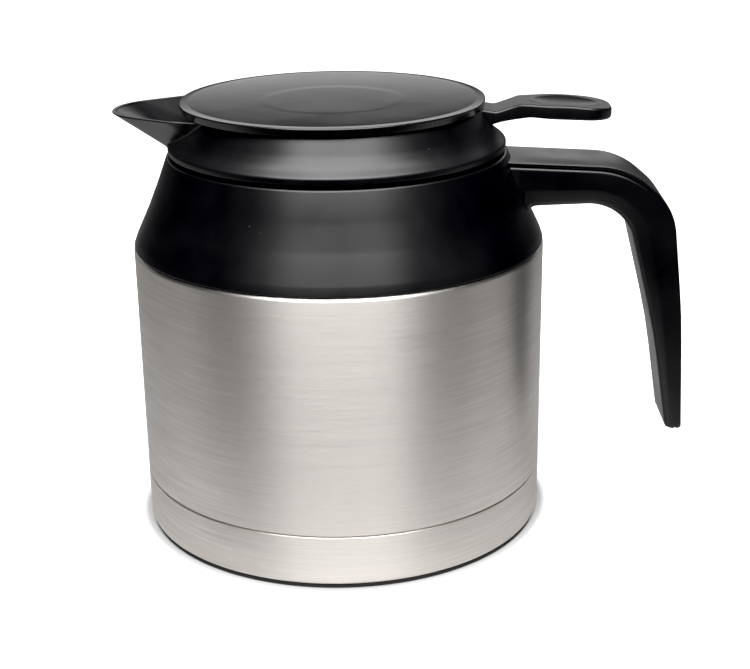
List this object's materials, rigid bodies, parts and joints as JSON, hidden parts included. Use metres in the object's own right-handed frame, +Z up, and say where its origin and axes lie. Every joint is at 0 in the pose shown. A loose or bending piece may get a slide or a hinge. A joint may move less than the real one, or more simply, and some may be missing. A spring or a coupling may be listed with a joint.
{
  "type": "thermal coffee carafe",
  "caption": "Low double-walled steel coffee carafe with a black collar, one-sided handle and screw lid whose thumb lever tips a pour disc open over the spout.",
  "frame": {"origin": "centre of the foot's underside, on the table", "axes": "+Z up along the carafe's axis, +X from the axis towards the handle and thumb lever; the spout points along -X and XZ is the plane of symmetry"},
  "size_m": [0.2081, 0.15, 0.1573],
  "materials": {
    "brushed_steel": "fine horizontal brushing",
    "plain_steel": "drawn and electropolished, unseen",
    "fastener_steel": "plain turned steel",
    "sealing_solder": "dull solder bead",
    "collar_plastic": "black, moulded, half gloss",
    "handle_plastic": "black, moulded, half gloss",
    "lid_plastic": "black, moulded, half gloss",
    "disc_plastic": "black, fine spark texture",
    "inner_plastic": "black, moulded, satin",
    "silicone": "grey food-grade silicone",
    "foot_rubber": "black, matte"
  },
  "bodies": {
    "vessel": {"foot_pad": "foot_rubber", "base_cup": "brushed_steel", "outer_shell": "brushed_steel", "bottom_plate": "plain_steel", "vacuum_port_seal": "sealing_solder", "getter_disc": "plain_steel", "inner_flask": "plain_steel", "collar": "collar_plastic", "neck_gasket": "silicone", "retaining_ring": "inner_plastic", "handle_body": "handle_plastic", "handle_cover": "handle_plastic", "handle_screw_upper": "fastener_steel", "handle_screw_lower": "fastener_steel"},
    "lid_lifting_seal": {"lid_gasket": "silicone"},
    "lid_thread_seal": {"skirt_seal": "silicone"},
    "lid": {"lid_ring": "lid_plastic", "lid_insert": "inner_plastic", "hinge_pin": "fastener_steel"},
    "pour_lever": {"thumb_lever": "lid_plastic", "lid_disc": "disc_plastic", "lever_screw_front": "fastener_steel", "lever_screw_rear": "fastener_steel", "stopper": "inner_plastic", "stopper_seal": "silicone"}
  },
  "joints": [
    {"name": "lid_lift", "type": "slide", "parent": "vessel", "child": "lid_lifting_seal", "axis": [0, 0, 1], "range_m": [0, 0.045]},
    {"name": "lid_rise", "type": "slide", "parent": "lid_lifting_seal", "child": "lid_thread_seal", "axis": [0, 0, 1], "range_m": [0, 0.003]},
    {"name": "lid_turn", "type": "hinge", "parent": "lid_thread_seal", "child": "lid", "pos_m": [0, 0, 0.1402], "axis": [0, 0, 1], "range_deg": [0, 120]},
    {"name": "lever_press", "type": "hinge", "parent": "lid", "child": "pour_lever", "pos_m": [0.0512, 0, 0.15], "axis": [0, 1, 0], "range_deg": [0, 18.5]}
  ],
  "couplings": [
    {"joint": "lid_rise", "follows": "lid_turn", "m_per_rad": 0.001432}
  ]
}
